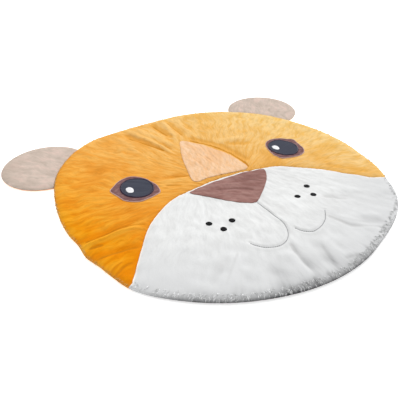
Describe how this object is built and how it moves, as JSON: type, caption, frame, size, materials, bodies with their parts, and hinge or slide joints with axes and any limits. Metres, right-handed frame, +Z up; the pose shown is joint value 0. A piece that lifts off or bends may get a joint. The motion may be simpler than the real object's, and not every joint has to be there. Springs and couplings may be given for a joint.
{
  "type": "baby play mat",
  "caption": "Round padded plush play mat in the shape of an animal's head, with ears, patch face and a pale muzzle panel, lying flat on the floor.",
  "frame": {"origin": "on the floor below the middle of the mat's bounding box", "axes": "+Z up from the floor, +Y from the chin towards the forehead, +X towards the viewer's right of the face"},
  "size_m": [1.1564, 1.0053, 0.0331],
  "materials": {
    "orange_plush": "short soft pile, matt",
    "white_plush": "short soft pile, matt",
    "peach_plush": "short pile, brushed",
    "brown_plush": "velvet pile, slight sheen",
    "mauve_cloth": "velvet pile, slight sheen",
    "slate_cloth": "smooth satin cloth",
    "white_thread": "satin stitch",
    "black_thread": "satin stitch",
    "ear_plush": "brushed short pile, matt"
  },
  "bodies": {
    "root": {"body": "orange_plush", "muzzle_panel": "white_plush", "bridge_patch": "peach_plush", "nose_patch": "brown_plush", "eye_base_left": "mauve_cloth", "eye_base_right": "mauve_cloth", "pupil_left": "slate_cloth", "pupil_right": "slate_cloth", "highlight_left": "white_thread", "highlight_right": "white_thread", "whisker_dot_left_1": "black_thread", "whisker_dot_left_2": "black_thread", "whisker_dot_left_3": "black_thread", "whisker_dot_right_1": "black_thread", "whisker_dot_right_2": "black_thread", "whisker_dot_right_3": "black_thread", "ear_left": "orange_plush", "ear_right": "orange_plush", "ear_face_left": "ear_plush", "ear_face_right": "ear_plush"}
  },
  "joints": []
}
